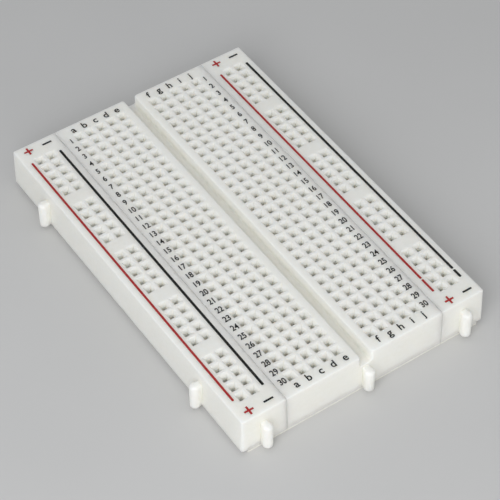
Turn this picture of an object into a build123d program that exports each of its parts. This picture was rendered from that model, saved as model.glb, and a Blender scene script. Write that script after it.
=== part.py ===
from build123d import *
import math
import os

# Half-size solderless breadboard: a terminal block between two power rails, held
# together by vertical lugs in keyhole slots, with spring clips in pockets that open
# underneath and an adhesive foam backing on a release liner.
# Millimetres. +Z is up and z = 0 is the bench. x = 0, y = 0 is the middle of the
# terminal grid. +Y runs to row 1 and +X runs from column a to column j.

# Grid of tie points
PITCH = 2.54
ROWS = 30
COLUMNS_PER_SIDE = 5
INNER_COLUMN_X = 1.5 * PITCH
RAIL_COLUMNS_X = 22.47
RAIL_GROUPS = 5
RAIL_GROUP_SIZE = 5

# Heights, from the bench up
LINER_THICKNESS = 0.1
FOAM_THICKNESS = 0.8
UNDERSIDE_Z = LINER_THICKNESS + FOAM_THICKNESS
PLASTIC_HEIGHT = 8.2
TOP_Z = UNDERSIDE_Z + PLASTIC_HEIGHT

# Outlines at the foot of the walls. The outer walls lean in towards the top and the
# walls at the seams between modules are upright.
TERMINAL_HALF_WIDTH = 17.5
SEAM_GAP = 0.06
RAIL_INNER_X = TERMINAL_HALF_WIDTH + SEAM_GAP
BOARD_HALF_WIDTH = 27.4
BOARD_HALF_LENGTH = 41.05
WALL_LEAN = 0.3
DRAFT_DEGREES = math.degrees(math.atan(WALL_LEAN / PLASTIC_HEIGHT))
CORNER_RADIUS = 0.6
TOP_EDGE_RADIUS = 0.25
SEAM_EDGE_RADIUS = 0.12
TRIMMED_WIDTH = 1.5

# Ravine between columns e and f
RAVINE_WIDTH = 2.5
RAVINE_DEPTH = 2.45
RAVINE_FLOOR_Z = TOP_Z - RAVINE_DEPTH
RAVINE_FLOOR_RADIUS = 0.4
RAVINE_MOUTH_RADIUS = 0.5

# Tie point: a square funnel, open at the rim and steeper below its waist, that leads to
# a square throat above the clip pocket
RIM_WIDTH = 2.04
WAIST_WIDTH = 1.46
WAIST_DEPTH = 0.3
THROAT_WIDTH = 0.93
FUNNEL_DEPTH = 0.95
POCKET_TOP_Z = TOP_Z - 2.35
POCKET_WIDTH = 1.9
POCKET_END_GAP = 0.13

# Spring clip, bent from thin strip
STRIP_THICKNESS = 0.2
STRIP_BEND_RADIUS = 0.25
LEAF_WIDTH = 1.8
CLIP_BASE_HALF_WIDTH = 0.75
CLIP_SHOULDER_Z = 1.6
CLIP_SLIT_Z = 1.2
CLIP_PINCH_Z = 4.1
CLIP_PINCH_HALF_GAP = 0.15
CLIP_FLARE_HALF_WIDTH = 0.6
CLIP_HEIGHT = 5.5

# Lugs that stand out of two walls, and the keyhole slots in the other two
LUG_RADIUS = 1.0
LUG_REACH = 0.95
LUG_NECK_WIDTH = 1.66
LUG_ROOT = 0.6
LUG_TOP_RADIUS = 0.65
SLOT_RADIUS = 1.15
SLOT_MOUTH_WIDTH = 1.86
SLOT_INSET = LUG_REACH - SEAM_GAP
SLOT_HEADROOM = 0.15
SIDE_LUG_Y = 27.2
END_LUG_X = 22.5
LUG_TOP_Z = 6.7
MIDDLE_LUG_TOP_Z = 6.0

# Foam tape and liner
FOAM_SIDE_INSET = 1.3
FOAM_END_INSET = 0.1
FOAM_NOTCH_RADIUS = 1.5

# Two places closer than this are the same place
TOUCH = 0.001

# Which way a wall faces, as a turn about Z in degrees from +X
FACING_LEFT = 180
FACING_RIGHT = 0
FACING_NEAR = -90
FACING_FAR = 90

def spaced_rows():
    """Y of each terminal row, from row 1 at the far end."""
    return [((ROWS - 1) / 2 - row) * PITCH for row in range(ROWS)]


def side_columns(side):
    """X of the five columns on one side of the ravine: -1 for a to e, 1 for f to j."""
    return sorted(side * (INNER_COLUMN_X + column * PITCH) for column in range(COLUMNS_PER_SIDE))


def rail_rows():
    """Y of the contacts along a rail, in groups with one position left out between."""
    positions = RAIL_GROUPS * (RAIL_GROUP_SIZE + 1) - 1
    used = [place for place in range(positions) if place % (RAIL_GROUP_SIZE + 1) < RAIL_GROUP_SIZE]
    return sorted((place - (positions - 1) / 2) * PITCH for place in used)


def placed_box(x_span, y_span, z_span):
    """Box between two limits on each axis."""
    size = [high - low for low, high in (x_span, y_span, z_span)]
    middle = [(high + low) / 2 for low, high in (x_span, y_span, z_span)]
    return Pos(*middle) * Box(*size)


def strip_section():
    """Section of the bent strip: a flat base, two leaves that pinch, and a flare on top."""
    half = STRIP_THICKNESS / 2
    right = [
        (CLIP_BASE_HALF_WIDTH, half),
        (CLIP_BASE_HALF_WIDTH, CLIP_SHOULDER_Z),
        (CLIP_PINCH_HALF_GAP, CLIP_PINCH_Z),
        (CLIP_FLARE_HALF_WIDTH, CLIP_HEIGHT),
    ]
    left = [(-across, up) for across, up in reversed(right)]
    return trace(FilletPolyline(*left, *right, radius=STRIP_BEND_RADIUS), line_width=STRIP_THICKNESS)


def spring_clip(contacts):
    """Clip along X with a pair of leaves at each contact, its base at z = 0."""
    start = contacts[0] - LEAF_WIDTH / 2
    end = contacts[-1] + LEAF_WIDTH / 2
    clip = extrude(Plane.YZ.offset(start) * strip_section(), end - start)
    slits = []
    for one, following in zip(contacts, contacts[1:]):
        between = (one + LEAF_WIDTH / 2, following - LEAF_WIDTH / 2)
        slits.append(placed_box(between, (-PITCH, PITCH), (CLIP_SLIT_Z, 2 * CLIP_HEIGHT)))
    return clip - slits


def pocket(contacts):
    """Space under the tie points for a clip along X, open underneath."""
    reach = LEAF_WIDTH / 2 + POCKET_END_GAP
    x_span = (contacts[0] - reach, contacts[-1] + reach)
    y_span = (-POCKET_WIDTH / 2, POCKET_WIDTH / 2)
    return placed_box(x_span, y_span, (UNDERSIDE_Z - 1, POCKET_TOP_Z))


def tapered_square(low_width, high_width, low_z, high_z):
    """Block whose square section changes from one width to another on the way up."""
    height = high_z - low_z
    margin = (high_width - low_width) / 2
    far = high_width - margin
    wedge = Solid.make_wedge(high_width, height, high_width, margin, margin, far, far)
    return Pos(0, 0, high_z) * Rot(-90, 0, 0) * Pos(-high_width / 2, 0, -high_width / 2) * wedge


def tie_point():
    """Funnel in two slopes with its throat, from above the top face into the pocket."""
    overshoot = 0.1
    waist_z = TOP_Z - WAIST_DEPTH
    throat_z = TOP_Z - FUNNEL_DEPTH
    above_rim = RIM_WIDTH + (RIM_WIDTH - WAIST_WIDTH) * overshoot / WAIST_DEPTH
    mouth = tapered_square(WAIST_WIDTH, above_rim, waist_z, TOP_Z + overshoot)
    funnel = tapered_square(THROAT_WIDTH, WAIST_WIDTH, throat_z, waist_z)
    half = THROAT_WIDTH / 2
    throat = placed_box((-half, half), (-half, half), (POCKET_TOP_Z - overshoot, throat_z))
    return mouth + funnel + throat


def module_body(x_min, x_max):
    """Moulded block with rounded corners and walls that lean in towards the top."""
    outline = RectangleRounded(x_max - x_min, 2 * BOARD_HALF_LENGTH, CORNER_RADIUS)
    body = extrude(outline, PLASTIC_HEIGHT, taper=DRAFT_DEGREES)
    return Pos((x_min + x_max) / 2, 0, UNDERSIDE_Z) * body


def round_top(body):
    """Body with the edges of its top face rounded."""
    top_faces = body.faces().filter_by(lambda face: abs(face.center().Z - TOP_Z) < TOUCH)
    return fillet(top_faces.edges(), TOP_EDGE_RADIUS)


def trim_at_seam(body, seam_x, outward):
    """Body cut to an upright wall that faces outward at a seam, with its edges rounded."""
    beyond = sorted((seam_x, seam_x + outward * 2 * TRIMMED_WIDTH))
    end = BOARD_HALF_LENGTH + 1
    body -= placed_box(beyond, (-end, end), (UNDERSIDE_Z - 1, TOP_Z + 1))
    in_wall = body.edges().filter_by(
        lambda edge: max(abs((edge @ along).X - seam_x) for along in (0, 0.5, 1)) < TOUCH)
    above_foot = in_wall.filter_by(lambda edge: (edge @ 0.5).Z > UNDERSIDE_Z + TOUCH)
    return fillet(above_foot, SEAM_EDGE_RADIUS)


def ravine_edges(body, upright):
    """Edges in the ravine's walls: the upright ones at its mouths, or the two along its floor."""
    half = RAVINE_WIDTH / 2
    in_walls = body.edges().filter_by(lambda edge: abs(abs(edge.center().X) - half) < TOUCH)
    if upright:
        return in_walls.filter_by(lambda edge: abs((edge @ 1 - edge @ 0).Z) > RAVINE_DEPTH / 2)
    return in_walls.filter_by(lambda edge: abs(edge.center().Z - RAVINE_FLOOR_Z) < TOUCH)


def cut_ravine(body):
    """Body with the ravine cut along Y, its mouths, top edges and floor all rounded."""
    half = RAVINE_WIDTH / 2
    end = BOARD_HALF_LENGTH + 1
    body -= placed_box((-half, half), (-end, end), (RAVINE_FLOOR_Z, TOP_Z + 1))
    body = fillet(ravine_edges(body, upright=True), RAVINE_MOUTH_RADIUS)
    body = round_top(body)
    return fillet(ravine_edges(body, upright=False), RAVINE_FLOOR_RADIUS)


def wall_place(x, y, facing):
    """Place on a wall's foot, with local +X out of the wall."""
    return Location((x, y, 0), (0, 0, facing))


def lug(top):
    """Round bead on a neck, which stands out of a wall along local +X."""
    height = top - UNDERSIDE_Z
    bead = Pos(LUG_REACH, 0, UNDERSIDE_Z + height / 2) * Cylinder(LUG_RADIUS, height)
    half = LUG_NECK_WIDTH / 2
    shape = bead + placed_box((-LUG_ROOT, LUG_REACH), (-half, half), (UNDERSIDE_Z, top))
    return fillet(shape.faces().sort_by(Axis.Z)[-1].edges(), LUG_TOP_RADIUS)


def slot(top):
    """Keyhole space for a lug that comes in from below, behind a wall that faces local +X."""
    low = UNDERSIDE_Z - 1
    high = top + SLOT_HEADROOM
    bore = Pos(-SLOT_INSET, 0, (low + high) / 2) * Cylinder(SLOT_RADIUS, high - low)
    half = SLOT_MOUTH_WIDTH / 2
    return bore + placed_box((-SLOT_INSET, 1), (-half, half), (low, high))


def slot_places(x_max, end_x):
    """Where a module has its slots: two in the right wall and one in the far wall."""
    right = [wall_place(x_max, y, FACING_RIGHT) for y in (-SIDE_LUG_Y, SIDE_LUG_Y)]
    return right, wall_place(end_x, BOARD_HALF_LENGTH, FACING_FAR)


def with_joinery(body, x_min, x_max, end_x, end_top):
    """Body with lugs on its left and near walls and slots in its right and far walls."""
    for y in (-SIDE_LUG_Y, SIDE_LUG_Y):
        body += wall_place(x_min, y, FACING_LEFT) * lug(LUG_TOP_Z)
    body += wall_place(end_x, -BOARD_HALF_LENGTH, FACING_NEAR) * lug(end_top)
    right, far = slot_places(x_max, end_x)
    return body - [place * slot(LUG_TOP_Z) for place in right] - [far * slot(end_top)]


def terminal_block_housing():
    untrimmed = TERMINAL_HALF_WIDTH + TRIMMED_WIDTH
    body = cut_ravine(module_body(-untrimmed, untrimmed))
    for side in (-1, 1):
        body = trim_at_seam(body, side * TERMINAL_HALF_WIDTH, side)
    body = with_joinery(body, -TERMINAL_HALF_WIDTH, TERMINAL_HALF_WIDTH, 0, MIDDLE_LUG_TOP_Z)
    hole = tie_point()
    holes = []
    pockets = []
    for side in (-1, 1):
        columns = side_columns(side)
        side_pocket = pocket(columns)
        for y in spaced_rows():
            pockets.append(Pos(0, y, 0) * side_pocket)
            holes += [Pos(x, y, 0) * hole for x in columns]
    return body - pockets - holes


def rail_housing(side):
    """Rail on one side of the board: -1 for the left one, 1 for the right one."""
    x_min, x_max = sorted((side * RAIL_INNER_X, side * BOARD_HALF_WIDTH))
    untrimmed = sorted((side * (RAIL_INNER_X - TRIMMED_WIDTH), side * BOARD_HALF_WIDTH))
    body = trim_at_seam(round_top(module_body(*untrimmed)), side * RAIL_INNER_X, -side)
    body = with_joinery(body, x_min, x_max, side * END_LUG_X, LUG_TOP_Z)
    hole = tie_point()
    bus_pocket = Rot(0, 0, 90) * pocket(rail_rows())
    holes = []
    pockets = []
    for x in bus_columns(side):
        pockets.append(Pos(x, 0, 0) * bus_pocket)
        holes += [Pos(x, y, 0) * hole for y in rail_rows()]
    return body - pockets - holes


def bus_columns(side):
    """X of a rail's two columns, left to right."""
    return [side * RAIL_COLUMNS_X + half_pitch for half_pitch in (-PITCH / 2, PITCH / 2)]


def row_clips():
    """The two clips of each row, one on each side of the ravine."""
    sides = [spring_clip(side_columns(side)) for side in (-1, 1)]
    return {
        f"row_{number:02d}_clips": [Pos(0, y, UNDERSIDE_Z) * clip for clip in sides]
        for number, y in enumerate(spaced_rows(), start=1)
    }


def bus_clips():
    """The long clip of each rail column."""
    clip = Rot(0, 0, 90) * spring_clip(rail_rows())
    names = {
        -1: ("left_rail_positive_bus_clip", "left_rail_negative_bus_clip"),
        1: ("right_rail_positive_bus_clip", "right_rail_negative_bus_clip"),
    }
    return {
        name: [Pos(x, 0, UNDERSIDE_Z) * clip]
        for side in names
        for name, x in zip(names[side], bus_columns(side))
    }


def foam_pad(x_min, x_max, wall_x_max, end_x):
    """Adhesive foam under one module, notched where lugs pass."""
    end = BOARD_HALF_LENGTH - FOAM_END_INSET
    pad = placed_box((x_min, x_max), (-end, end), (LINER_THICKNESS, UNDERSIDE_Z))
    right, far = slot_places(wall_x_max, end_x)
    bore = Pos(-SLOT_INSET, 0, UNDERSIDE_Z) * Cylinder(FOAM_NOTCH_RADIUS, 4 * FOAM_THICKNESS)
    mouth = placed_box((-SLOT_INSET, 2 * SLOT_INSET), (-FOAM_NOTCH_RADIUS, FOAM_NOTCH_RADIUS),
                       (-FOAM_THICKNESS, 2 * UNDERSIDE_Z))
    return pad - [place * (bore + mouth) for place in (*right, far)]


def foam_pads():
    outer = BOARD_HALF_WIDTH - FOAM_SIDE_INSET
    return {
        "terminal_block_foam_pad": [
            foam_pad(-TERMINAL_HALF_WIDTH, TERMINAL_HALF_WIDTH, TERMINAL_HALF_WIDTH, 0)
        ],
        "left_rail_foam_pad": [foam_pad(-outer, -RAIL_INNER_X, -RAIL_INNER_X, -END_LUG_X)],
        "right_rail_foam_pad": [foam_pad(RAIL_INNER_X, outer, BOARD_HALF_WIDTH, END_LUG_X)],
    }


def release_liner():
    half_width = BOARD_HALF_WIDTH - FOAM_SIDE_INSET
    half_length = BOARD_HALF_LENGTH - FOAM_END_INSET
    return placed_box((-half_width, half_width), (-half_length, half_length), (0, LINER_THICKNESS))


nodes = {
    "terminal_block_housing": [terminal_block_housing()],
    "left_rail_housing": [rail_housing(-1)],
    "right_rail_housing": [rail_housing(1)],
    **row_clips(),
    **bus_clips(),
    **foam_pads(),
    "release_liner": [release_liner()],
}

os.makedirs("parts", exist_ok=True)
for name, shapes in nodes.items():
    solids = [solid for shape in shapes for solid in shape.solids()]
    export_step(Compound(children=solids), f"parts/{name}.step", write_pcurves=False)
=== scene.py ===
import math

import bmesh
import bpy
from mathutils import Matrix, Vector, noise


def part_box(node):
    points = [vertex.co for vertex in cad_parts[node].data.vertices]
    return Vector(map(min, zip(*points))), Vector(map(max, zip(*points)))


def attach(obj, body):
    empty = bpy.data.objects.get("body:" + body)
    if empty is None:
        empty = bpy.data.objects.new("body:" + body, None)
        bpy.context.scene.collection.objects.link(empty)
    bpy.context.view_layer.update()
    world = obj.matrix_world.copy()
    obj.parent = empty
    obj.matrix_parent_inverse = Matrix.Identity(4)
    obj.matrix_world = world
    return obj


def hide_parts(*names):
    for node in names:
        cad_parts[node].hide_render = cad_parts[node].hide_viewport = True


# Half-size solderless breadboard. Blender works in metres, the sizes below are in
# millimetres times MM. +X runs from column a to column j, +Y to row 1, +Z up.
MM = 0.001

# Camera, from a fit to the photograph's tie points
CAMERA_TARGET = Vector((-2.5, -7.07, 8.1)) * MM
CAMERA_AZIMUTH = math.radians(-33.57)
CAMERA_ELEVATION = math.radians(48.33)
CAMERA_ROLL = math.radians(-0.86)
CAMERA_DISTANCE = 362.6 * MM
CAMERA_LENS = 137.2
CAMERA_SENSOR = 36

# Grid of the tie points
PITCH = 2.54 * MM
ROWS = 30
INNER_COLUMN_X = 1.5 * PITCH
COLUMNS_PER_SIDE = 5
RAIL_MIDDLE_X = 22.47 * MM

# Print on the top faces; -1 is the left rail and 1 the right
INK_THICKNESS = 0.012 * MM
RED_LINE_WIDTH = 0.46 * MM
BLACK_LINE_WIDTH = 0.52 * MM
LINE_OFFSET_X = 3.2 * MM
LINE_END_Y = 35.75 * MM
LINE_CORNER = 0.18 * MM
RED_LINE_GAPS = {-1: [], 1: [(-32.2 * MM, -31.95 * MM)]}
BLACK_LINE_GAPS = {-1: [], 1: [(-33.65 * MM, -33.3 * MM)]}
PRINT_SHIFT_X = {-1: 0.12 * MM, 1: 0}
SIGN_OFFSET_X = 2.1 * MM
SIGN_Y = 39.0 * MM
PLUS_SIZE = 1.95 * MM
MINUS_LENGTH = 2.05 * MM
SIGN_STROKE = 0.4 * MM
SIGN_CORNER = 0.08 * MM
LETTER_SIZE = 2.25 * MM
LETTER_BOLDNESS = 0.016
LETTER_SHIFT_X = -0.1 * MM
DIGIT_HEIGHT = 1.4 * MM
DIGIT_WIDTH = 0.73 * MM
DIGIT_BOLDNESS = 0.02
NUMBER_X = 15.95 * MM
NUMBER_DROP = 0.2 * MM
FAR_LETTERS_Y = 39.0 * MM
NEAR_LETTERS_Y = -39.1 * MM
LETTER_DROP = 0.6 * MM
# First letter's place and the pitch of the letters at the near end
NEAR_LETTER_SPACING = {"abcde": (-14.19 * MM, 2.68 * MM), "fghij": (3.94 * MM, 2.6 * MM)}

# Small rounding of moulded and sheared edges
HOUSING_EDGE = 0.07 * MM
CLIP_EDGE = 0.02 * MM
EDGE_ANGLE = math.radians(40)
WELD_DISTANCE = 0.001 * MM

# Foam pads and liner
FOAM_STEP = 0.35 * MM
FOAM_LEVELS = 7
FOAM_WAVINESS = 0.05 * MM
FOAM_WAVE_LENGTH = 0.9 * MM
FOAM_BULGE = 0.06 * MM
LINER_CUT_WAVE = 1.5 * MM
LINER_CUT_LENGTH = 22 * MM
LINER_CUT_GAP = 0.12 * MM
LINER_STEPS = 120

# Stage: sizes in metres, lights in watts
FLOOR_SIZE = 6.0
WORLD_COLOUR = (0.775, 0.79, 0.815, 1)
WORLD_STRENGTH = 0.61
HORIZON_STRENGTH = 0.36
# Height of a view direction, as a share of straight up, where the world reaches full strength
HORIZON_BAND = 0.14
KEY_PLACE = (-0.262, -0.228, 0.286)
KEY_SIZE = 0.3
KEY_WATTS = 1.08
KEY_COLOUR = (0.95, 0.965, 1.0)
FRONT_PLACE = (0, -0.45, 0.05)
FRONT_SIZE = 0.2
FRONT_WATTS = 0.34
FRONT_COLOUR = (1.0, 0.98, 0.95)


# ---------------------------------------------------------------- materials


class Nodes:
    """A new material's node tree, with short calls to add and join its nodes."""

    def __init__(self, name):
        self.material = bpy.data.materials.new(name)
        self.material.use_nodes = True
        self.tree = self.material.node_tree
        self.shader = self.tree.nodes["Principled BSDF"]
        self.place = self.add("ShaderNodeTexCoord").outputs["Object"]

    def add(self, kind, **settings):
        node = self.tree.nodes.new(kind)
        for name, value in settings.items():
            setattr(node, name, value)
        return node

    def join(self, source, target):
        self.tree.links.new(source, target)

    def noise(self, scale, detail=3.0, roughness=0.5, stretch=None):
        """Noise at a scale in features per metre, which a stretch can draw out along the axes."""
        texture = self.add("ShaderNodeTexNoise")
        texture.inputs["Scale"].default_value = scale
        texture.inputs["Detail"].default_value = detail
        texture.inputs["Roughness"].default_value = roughness
        place = self.place
        if stretch:
            mapping = self.add("ShaderNodeMapping")
            mapping.inputs["Scale"].default_value = stretch
            self.join(place, mapping.inputs["Vector"])
            place = mapping.outputs["Vector"]
        self.join(place, texture.inputs["Vector"])
        return texture.outputs["Fac"]

    def cells(self, scale):
        """Distance to the nearest cell centre, at a scale in cells per metre."""
        texture = self.add("ShaderNodeTexVoronoi")
        texture.inputs["Scale"].default_value = scale
        self.join(self.place, texture.inputs["Vector"])
        return texture.outputs["Distance"]

    def ramp(self, factor, stops):
        """Colour along a list of (position, colour) stops."""
        ramp = self.add("ShaderNodeValToRGB")
        elements = ramp.color_ramp.elements
        while len(elements) < len(stops):
            elements.new(0.5)
        for element, (position, colour) in zip(elements, stops):
            element.position = position
            element.color = (*colour, 1)
        self.join(factor, ramp.inputs["Fac"])
        return ramp.outputs["Color"]

    def span(self, factor, low, high, start=0.3, end=0.7):
        """Factor between start and end turned into a value between low and high."""
        spread = self.add("ShaderNodeMapRange")
        spread.inputs["From Min"].default_value = start
        spread.inputs["From Max"].default_value = end
        spread.inputs["To Min"].default_value = low
        spread.inputs["To Max"].default_value = high
        self.join(factor, spread.inputs["Value"])
        return spread.outputs["Result"]

    def mix(self, factor, one, other):
        """One colour turning into the other as factor goes from 0 to 1."""
        blend = self.add("ShaderNodeMix", data_type="RGBA")
        self.join(factor, blend.inputs["Factor"])
        self.join(one, blend.inputs["A"])
        self.join(other, blend.inputs["B"])
        return blend.outputs["Result"]

    def bumps(self, *layers):
        """Bump from several (height, depth in metres, strength) layers, one on top of the other."""
        normal = None
        for height, depth, strength in layers:
            bump = self.add("ShaderNodeBump")
            bump.inputs["Distance"].default_value = depth
            bump.inputs["Strength"].default_value = strength
            self.join(height, bump.inputs["Height"])
            if normal:
                self.join(normal, bump.inputs["Normal"])
            normal = bump.outputs["Normal"]
        self.join(normal, self.shader.inputs["Normal"])

    def look(self, **values):
        """Sets the shader's own sockets: plain numbers and colours as they are, outputs by a link."""
        for name, value in values.items():
            socket = self.shader.inputs[name.replace("_", " ")]
            if isinstance(value, bpy.types.NodeSocket):
                self.join(value, socket)
            else:
                socket.default_value = value


def housing_plastic():
    """Milky ABS from a spark-eroded mould: nearly white, translucent, softly satin."""
    n = Nodes("housing_plastic")
    tone = n.ramp(n.noise(70, 4), [(0.3, (0.90, 0.888, 0.815)), (0.7, (0.925, 0.916, 0.85))])
    flecks = n.ramp(n.noise(1400, 5), [(0.35, (0.885, 0.872, 0.795)), (0.65, (0.935, 0.927, 0.87))])
    n.look(
        Base_Color=n.mix(n.span(n.noise(260, 3), 0.15, 0.5), tone, flecks),
        Roughness=n.span(n.noise(900, 4), 0.36, 0.52),
        IOR=1.53,
        Subsurface_Weight=1.0,
        Subsurface_Radius=(0.92, 0.96, 1.0),
        Subsurface_Scale=2.1 * MM,
        Specular_IOR_Level=0.5,
    )
    n.bumps((n.noise(160, 3), 0.03 * MM, 0.25), (n.noise(9000, 3), 0.006 * MM, 0.5))
    return n.material


def ink(name, thin, full):
    """Pad-printed ink, thinner in places, with a faint orange-peel surface."""
    n = Nodes(name)
    n.look(
        Base_Color=n.ramp(n.noise(2600, 4, 0.65), [(0.28, thin), (0.45, full), (1.0, full)]),
        Roughness=n.span(n.noise(4000, 3), 0.34, 0.55),
        Specular_IOR_Level=0.4,
    )
    n.bumps((n.noise(7000, 3), 0.005 * MM, 0.5))
    return n.material


def clip_metal():
    """Nickel-plated phosphor bronze strip, with rolling marks across it and faint tarnish."""
    n = Nodes("clip_metal")
    rolled = n.noise(900, 4, 0.6, stretch=(1, 1, 9))
    tarnish = n.noise(350, 4, 0.6)
    tones = [(0.3, (0.74, 0.68, 0.56)), (0.55, (0.86, 0.83, 0.76)), (1.0, (0.91, 0.89, 0.84))]
    n.look(
        Base_Color=n.ramp(tarnish, tones),
        Metallic=1.0,
        Roughness=n.span(rolled, 0.34, 0.5),
    )
    n.bumps((rolled, 0.003 * MM, 0.4))
    return n.material


def foam():
    """White closed-cell foam: small round cells, some open on the cut edges."""
    n = Nodes("foam")
    cells = n.cells(7500)
    n.look(
        Base_Color=n.mix(
            n.span(cells, 0.0, 0.8, 0.1, 0.6),
            n.ramp(n.noise(500, 4), [(0.3, (0.70, 0.69, 0.63)), (0.7, (0.80, 0.79, 0.74))]),
            n.ramp(n.noise(2500, 4), [(0.3, (0.78, 0.77, 0.72)), (0.7, (0.86, 0.855, 0.82))]),
        ),
        Roughness=n.span(n.noise(3000, 2), 0.8, 0.96),
        Subsurface_Weight=0.2,
        Subsurface_Radius=(1.0, 0.95, 0.85),
        Subsurface_Scale=0.4 * MM,
    )
    n.bumps((cells, 0.05 * MM, 0.8), (n.noise(12000, 3), 0.01 * MM, 0.5))
    return n.material


def liner_paper():
    """Waxed release paper: ivory, faint fibres and a smooth, slightly shiny face."""
    n = Nodes("liner_paper")
    fibres = n.noise(1500, 5, 0.65, stretch=(1, 0.25, 1))
    n.look(
        Base_Color=n.mix(
            n.span(fibres, 0.0, 1.0, 0.35, 0.65),
            n.ramp(n.noise(60, 4), [(0.3, (0.76, 0.74, 0.66)), (0.7, (0.80, 0.785, 0.71))]),
            n.ramp(n.noise(200, 4), [(0.3, (0.82, 0.80, 0.73)), (0.7, (0.86, 0.845, 0.78))]),
        ),
        Roughness=n.span(n.noise(300, 4), 0.3, 0.48),
        Coat_Weight=0.25,
        Coat_Roughness=0.3,
    )
    n.bumps((n.noise(90, 3), 0.05 * MM, 0.15), (fibres, 0.01 * MM, 0.3))
    return n.material


def floor_card():
    """Matt pale backdrop board with a barely visible tooth."""
    n = Nodes("floor_card")
    n.look(
        Base_Color=n.ramp(n.noise(12, 3), [(0.3, (0.585, 0.58, 0.565)), (0.7, (0.615, 0.61, 0.595))]),
        Roughness=n.span(n.noise(500, 3), 0.75, 0.9),
        Specular_IOR_Level=0.2,
    )
    n.bumps((n.noise(2500, 3), 0.02 * MM, 0.2))
    return n.material


# ---------------------------------------------------------------- mesh helpers


def new_piece(name, mesh, material, body):
    """Object for a finished mesh, riding on a CAD body and taking the material it is given."""
    bmesh_state = bmesh.new()
    bmesh_state.from_mesh(mesh)
    bmesh.ops.recalc_face_normals(bmesh_state, faces=bmesh_state.faces)
    bmesh_state.to_mesh(mesh)
    bmesh_state.free()
    mesh.materials.clear()
    mesh.materials.append(material)
    piece = bpy.data.objects.new(name, mesh)
    bpy.context.scene.collection.objects.link(piece)
    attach(piece, body)
    return piece


def rings_mesh(name, rings):
    """Closed mesh through a stack of rings with the same number of points, capped at both ends."""
    mesh = bpy.data.meshes.new(name)
    count = len(rings[0])
    points = [point for ring in rings for point in ring]
    faces = [list(range(count - 1, -1, -1))]
    for level in range(len(rings) - 1):
        start = level * count
        for i in range(count):
            following = (i + 1) % count
            faces.append((start + i, start + following, start + count + following, start + count + i))
    faces.append([(len(rings) - 1) * count + i for i in range(count)])
    mesh.from_pydata(points, [], faces)
    return mesh


def flat_prints(outlines, z):
    """Closed mesh of thin flat pieces of ink, one for each outline, lying on height z."""
    state = bmesh.new()
    for outline in outlines:
        low = [state.verts.new((x, y, z)) for x, y in outline]
        high = [state.verts.new((x, y, z + INK_THICKNESS)) for x, y in outline]
        state.faces.new(reversed(low))
        state.faces.new(high)
        for i in range(len(outline)):
            following = (i + 1) % len(outline)
            state.faces.new((low[i], low[following], high[following], high[i]))
    mesh = bpy.data.meshes.new("print")
    state.to_mesh(mesh)
    state.free()
    return mesh


def bar_outline(x, y, width, height, corner, steps=4):
    """Outline of a bar with rounded corners about its middle."""
    outline = []
    for turn, (sign_x, sign_y) in enumerate(((1, 1), (-1, 1), (-1, -1), (1, -1))):
        for step in range(steps + 1):
            angle = math.radians(90 * (turn + step / steps))
            outline.append((
                x + sign_x * (width / 2 - corner) + corner * math.cos(angle),
                y + sign_y * (height / 2 - corner) + corner * math.sin(angle),
            ))
    return outline


def plus_outline(x, y, size, stroke):
    """Outline of a plus sign about its middle."""
    arm = size / 2
    half = stroke / 2
    quarter = [(arm, -half), (arm, half), (half, half)]
    outline = []
    for turn in range(4):
        cos, sin = round(math.cos(turn * math.pi / 2)), round(math.sin(turn * math.pi / 2))
        outline += [(x + a * cos - b * sin, y + a * sin + b * cos) for a, b in quarter]
    return outline


# ---------------------------------------------------------------- print


def glyph_mesh(text, boldness):
    """Flat mesh of a piece of text at size 1, centred on its own middle in X, baseline at 0."""
    curve = bpy.data.curves.new("glyph", "FONT")
    curve.body = text
    curve.align_x = "CENTER"
    curve.offset = boldness
    curve.resolution_u = 5
    holder = bpy.data.objects.new("glyph", curve)
    bpy.context.scene.collection.objects.link(holder)
    graph = bpy.context.evaluated_depsgraph_get()
    mesh = bpy.data.meshes.new_from_object(holder.evaluated_get(graph))
    bpy.data.objects.remove(holder)
    return mesh


def text_prints(labels, boldness, z):
    """Closed mesh of ink for (text, x, y, width scale, height scale) labels on height z."""
    state = bmesh.new()
    flat = {}
    for text, x, y, wide, high in labels:
        if text not in flat:
            flat[text] = glyph_mesh(text, boldness)
        place = Matrix.Translation((x, y, z)) @ Matrix.Diagonal((wide, high, 1, 1))
        start = len(state.verts)
        state.from_mesh(flat[text])
        state.verts.ensure_lookup_table()
        bmesh.ops.transform(state, matrix=place, verts=state.verts[start:])
    bmesh.ops.remove_doubles(state, verts=state.verts, dist=WELD_DISTANCE / 2)
    lower = list(state.faces)
    raised = bmesh.ops.extrude_face_region(state, geom=lower, use_keep_orig=True)["geom"]
    bmesh.ops.translate(
        state,
        vec=(0, 0, INK_THICKNESS),
        verts=[part for part in raised if isinstance(part, bmesh.types.BMVert)],
    )
    mesh = bpy.data.meshes.new("text")
    state.to_mesh(mesh)
    state.free()
    return mesh


def line_outlines(x, width, gaps):
    """A rail's printed line, from end to end, broken where the ink has come away."""
    ends = [-LINE_END_Y, *sorted(y for gap in gaps for y in gap), LINE_END_Y]
    return [
        bar_outline(x, (low + high) / 2, width, high - low, LINE_CORNER)
        for low, high in zip(ends[::2], ends[1::2])
    ]


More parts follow.
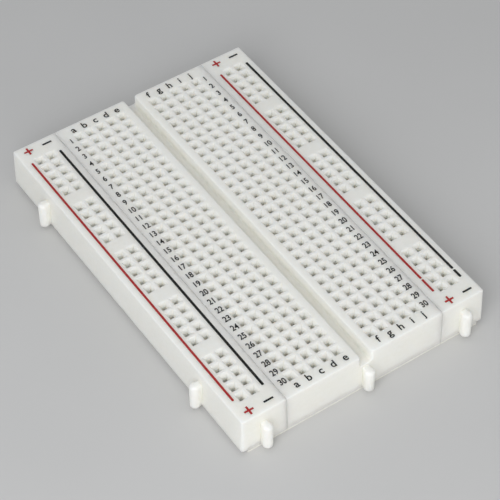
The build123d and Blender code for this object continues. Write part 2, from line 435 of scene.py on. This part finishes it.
def rail_print(side, body, top, red, black):
    """Red and black print of one rail: the two lines, and a plus and a minus at both ends."""
    middle = side * RAIL_MIDDLE_X + PRINT_SHIFT_X[side]
    reds = line_outlines(middle - LINE_OFFSET_X, RED_LINE_WIDTH, RED_LINE_GAPS[side])
    blacks = line_outlines(middle + LINE_OFFSET_X, BLACK_LINE_WIDTH, BLACK_LINE_GAPS[side])
    for y in (-SIGN_Y, SIGN_Y):
        reds.append(plus_outline(middle - SIGN_OFFSET_X, y, PLUS_SIZE, SIGN_STROKE))
        blacks.append(bar_outline(middle + SIGN_OFFSET_X, y, MINUS_LENGTH, SIGN_STROKE, SIGN_CORNER))
    new_piece(f"{body}_positive_print", flat_prints(reds, top), red, body)
    new_piece(f"{body}_negative_print", flat_prints(blacks, top), black, body)


def column_letters():
    """Letters a to e and f to j at both ends; the near ones sit a little wide of their columns."""
    labels = []
    group_width = (COLUMNS_PER_SIDE - 1) * PITCH
    for letters, first in (("abcde", -INNER_COLUMN_X - group_width), ("fghij", INNER_COLUMN_X)):
        near_first, near_pitch = NEAR_LETTER_SPACING[letters]
        for i, letter in enumerate(letters):
            far_x = first + i * PITCH + LETTER_SHIFT_X
            near_x = near_first + i * near_pitch
            labels.append((letter, far_x, FAR_LETTERS_Y - LETTER_DROP, LETTER_SIZE, LETTER_SIZE))
            labels.append((letter, near_x, NEAR_LETTERS_Y - LETTER_DROP, LETTER_SIZE, LETTER_SIZE))
    return labels


def row_numbers():
    """Numbers 1 to 30 on both sides of the grid, condensed."""
    digit = glyph_mesh("0", DIGIT_BOLDNESS)
    xs = [vertex.co.x for vertex in digit.vertices]
    ys = [vertex.co.y for vertex in digit.vertices]
    wide = DIGIT_WIDTH / (max(xs) - min(xs))
    high = DIGIT_HEIGHT / (max(ys) - min(ys))
    labels = []
    for row in range(ROWS):
        y = ((ROWS - 1) / 2 - row) * PITCH - NUMBER_DROP - DIGIT_HEIGHT / 2
        labels += [(str(row + 1), side * NUMBER_X, y, wide, high) for side in (-1, 1)]
    return labels


# ---------------------------------------------------------------- soft parts


def outline_of(node, step):
    """Outer outline of a flat CAD node, in order, with a point about every step."""
    state = bmesh.new()
    state.from_mesh(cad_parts[node].data)
    bmesh.ops.remove_doubles(state, verts=state.verts, dist=WELD_DISTANCE)
    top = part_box(node)[1].z
    rim = {}
    for edge in state.edges:
        upright = [face for face in edge.link_faces if abs(face.normal.z) < 0.5]
        if len(upright) == 1 and all(abs(vertex.co.z - top) < WELD_DISTANCE for vertex in edge.verts):
            for vertex in edge.verts:
                rim.setdefault(vertex.index, []).append(edge.other_vert(vertex).index)
    state.verts.ensure_lookup_table()
    places = {index: state.verts[index].co.to_2d() for index in rim}
    state.free()
    start = min(places, key=lambda index: (places[index].x, places[index].y))
    order = [start, rim[start][0]]
    while order[-1] != start:
        one, other = rim[order[-1]]
        order.append(other if one == order[-2] else one)
    outline = []
    for one, other in zip(order, order[1:]):
        count = max(1, round((places[other] - places[one]).length / step))
        outline += [places[one].lerp(places[other], i / count) for i in range(count)]
    return outline


def turn_of(outline):
    """1 if an outline runs anticlockwise, so that its left side is inside, and -1 if not."""
    area = sum(a.x * b.y - b.x * a.y for a, b in zip(outline, outline[1:] + outline[:1]))
    return 1 if area > 0 else -1


def foam_pad(node, body, material):
    """Foam pad with a cut edge that bulges a little and wanders, in place of the plain CAD pad."""
    low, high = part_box(node)
    outline = outline_of(node, FOAM_STEP)
    turn = turn_of(outline)
    count = len(outline)
    rings = []
    for level in range(FOAM_LEVELS):
        share = level / (FOAM_LEVELS - 1)
        z = low.z + (high.z - low.z) * share
        ring = []
        for i, point in enumerate(outline):
            along = (outline[(i + 1) % count] - outline[i - 1]).normalized()
            inward = Vector((-along.y, along.x)) * turn
            squeeze = FOAM_BULGE * (2 * share - 1) ** 2
            wave = noise.noise(Vector((point.x, point.y, z)) / FOAM_WAVE_LENGTH)
            wander = FOAM_WAVINESS * (0.5 + 0.5 * wave)
            moved = point + inward * (squeeze + wander)
            ring.append((moved.x, moved.y, z))
        rings.append(ring)
    piece = new_piece(f"{node}_foam", rings_mesh(node, rings), material, body)
    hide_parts(node)


def liner_sheet(material):
    """Release liner in two halves, parted by the wavy cut that it is peeled from."""
    low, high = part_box("release_liner")
    halves = []
    for side in (-1, 1):
        cut = []
        for i in range(LINER_STEPS + 1):
            x = low.x + (high.x - low.x) * i / LINER_STEPS
            wave = LINER_CUT_WAVE * math.sin(2 * math.pi * x / LINER_CUT_LENGTH)
            cut.append(Vector((x, wave + side * LINER_CUT_GAP / 2)))
        edge = low.y if side < 0 else high.y
        halves.append([Vector((high.x, edge)), Vector((low.x, edge)), *cut])
    state = bmesh.new()
    for outline in halves:
        lower = [state.verts.new((p.x, p.y, low.z)) for p in outline]
        upper = [state.verts.new((p.x, p.y, high.z)) for p in outline]
        state.faces.new(lower)
        state.faces.new(upper)
        for i in range(len(outline)):
            following = (i + 1) % len(outline)
            state.faces.new((lower[i], lower[following], upper[following], upper[i]))
    mesh = bpy.data.meshes.new("liner")
    bmesh.ops.triangulate(state, faces=[face for face in state.faces if len(face.verts) > 4])
    state.to_mesh(mesh)
    state.free()
    piece = new_piece("release_liner_paper", mesh, material, "right_rail")
    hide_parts("release_liner")


# ---------------------------------------------------------------- CAD nodes


def soften(node, width, segments):
    """Rounds a CAD node's sharp edges with modifiers, which leave its own mesh as it is."""
    weld = node.modifiers.new("weld", "WELD")
    weld.merge_threshold = WELD_DISTANCE
    bevel = node.modifiers.new("edges", "BEVEL")
    bevel.width = width
    bevel.segments = segments
    bevel.limit_method = "ANGLE"
    bevel.angle_limit = EDGE_ANGLE
    weighted = node.modifiers.new("normals", "WEIGHTED_NORMAL")
    weighted.keep_sharp = True


def finish_cad_nodes(plastic, metal):
    """Soft edges and a material for the CAD nodes that stay visible: housings and clips."""
    for name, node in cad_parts.items():
        if name.endswith("_housing"):
            soften(node, HOUSING_EDGE, 2)
            give(node, plastic)
        elif name.endswith(("_clips", "_clip")):
            soften(node, CLIP_EDGE, 1)
            give(node, metal)


def give(node, material):
    """Puts one material in all of a node's slots."""
    if not node.material_slots:
        node.data.materials.append(material)
    for slot in node.material_slots:
        slot.material = material


# ---------------------------------------------------------------- stage


def make_camera():
    """Camera at the fitted direction and distance, rolled a little about its own axis."""
    data = bpy.data.cameras.new("camera")
    data.sensor_width = CAMERA_SENSOR
    data.lens = CAMERA_LENS
    data.clip_start = 0.01
    data.clip_end = 20
    camera = bpy.data.objects.new("camera", data)
    bpy.context.scene.collection.objects.link(camera)
    right = Vector((math.cos(CAMERA_AZIMUTH), math.sin(CAMERA_AZIMUTH), 0))
    back = Vector((
        math.sin(CAMERA_AZIMUTH) * math.cos(CAMERA_ELEVATION),
        -math.cos(CAMERA_AZIMUTH) * math.cos(CAMERA_ELEVATION),
        math.sin(CAMERA_ELEVATION),
    ))
    up = back.cross(right)
    rolled_right = right * math.cos(CAMERA_ROLL) + up * math.sin(CAMERA_ROLL)
    rolled_up = up * math.cos(CAMERA_ROLL) - right * math.sin(CAMERA_ROLL)
    turn = Matrix((rolled_right, rolled_up, back)).transposed()
    camera.matrix_world = Matrix.Translation(CAMERA_TARGET + back * CAMERA_DISTANCE) @ turn.to_4x4()
    bpy.context.scene.camera = camera


def softbox(name, place, size, watts, colour):
    """Square area light at a place, turned to the middle of the board."""
    data = bpy.data.lights.new(name, "AREA")
    data.shape = "SQUARE"
    data.size = size
    data.energy = watts
    data.color = colour
    light = bpy.data.objects.new(name, data)
    light.location = place
    light.rotation_euler = (-Vector(place)).to_track_quat("-Z", "Y").to_euler()
    bpy.context.scene.collection.objects.link(light)


def studio_world():
    """Even light from all round, dimmer low down, so that it meets the far floor without a line."""
    world = bpy.data.worlds.new("studio")
    world.use_nodes = True
    tree = world.node_tree
    direction = tree.nodes.new("ShaderNodeTexCoord")
    parts = tree.nodes.new("ShaderNodeSeparateXYZ")
    strength = tree.nodes.new("ShaderNodeMapRange")
    strength.inputs["From Max"].default_value = HORIZON_BAND
    strength.inputs["To Min"].default_value = HORIZON_STRENGTH
    strength.inputs["To Max"].default_value = WORLD_STRENGTH
    background = tree.nodes["Background"]
    background.inputs["Color"].default_value = WORLD_COLOUR
    tree.links.new(direction.outputs["Generated"], parts.inputs["Vector"])
    tree.links.new(parts.outputs["Z"], strength.inputs["Value"])
    tree.links.new(strength.outputs["Result"], background.inputs["Strength"])
    bpy.context.scene.world = world


def make_stage():
    """Pale floor, studio world, a softbox from the near left and a low one in front."""
    mesh = bpy.data.meshes.new("floor")
    half = FLOOR_SIZE / 2
    corners = [(-half, -half, 0), (half, -half, 0), (half, half, 0), (-half, half, 0)]
    mesh.from_pydata(corners, [], [(0, 1, 2, 3)])
    mesh.materials.append(floor_card())
    floor = bpy.data.objects.new("floor", mesh)
    bpy.context.scene.collection.objects.link(floor)
    studio_world()
    softbox("key", KEY_PLACE, KEY_SIZE, KEY_WATTS, KEY_COLOUR)
    softbox("front", FRONT_PLACE, FRONT_SIZE, FRONT_WATTS, FRONT_COLOUR)
    bpy.context.scene.view_settings.view_transform = "Standard"


# ---------------------------------------------------------------- scene

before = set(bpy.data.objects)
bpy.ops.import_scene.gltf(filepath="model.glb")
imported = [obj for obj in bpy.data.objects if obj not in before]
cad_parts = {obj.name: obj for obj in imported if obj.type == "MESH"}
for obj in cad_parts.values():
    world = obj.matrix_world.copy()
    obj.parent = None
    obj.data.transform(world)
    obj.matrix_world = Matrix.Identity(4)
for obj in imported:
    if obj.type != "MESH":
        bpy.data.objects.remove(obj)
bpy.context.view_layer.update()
make_camera()
make_stage()

plastic = housing_plastic()
red_ink = ink("red_ink", (0.54, 0.10, 0.09), (0.43, 0.016, 0.016))
black_ink = ink("black_ink", (0.05, 0.05, 0.045), (0.004, 0.004, 0.003))
finish_cad_nodes(plastic, clip_metal())

top_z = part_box("terminal_block_housing")[1].z
rail_print(-1, "left_rail", top_z, red_ink, black_ink)
rail_print(1, "right_rail", top_z, red_ink, black_ink)
letters = text_prints(column_letters(), LETTER_BOLDNESS, top_z)
new_piece("terminal_block_column_letters", letters, black_ink, "terminal_block")
numbers = text_prints(row_numbers(), DIGIT_BOLDNESS, top_z)
new_piece("terminal_block_row_numbers", numbers, black_ink, "terminal_block")

foam_material = foam()
for module in ("terminal_block", "left_rail", "right_rail"):
    foam_pad(f"{module}_foam_pad", module, foam_material)
liner_sheet(liner_paper())
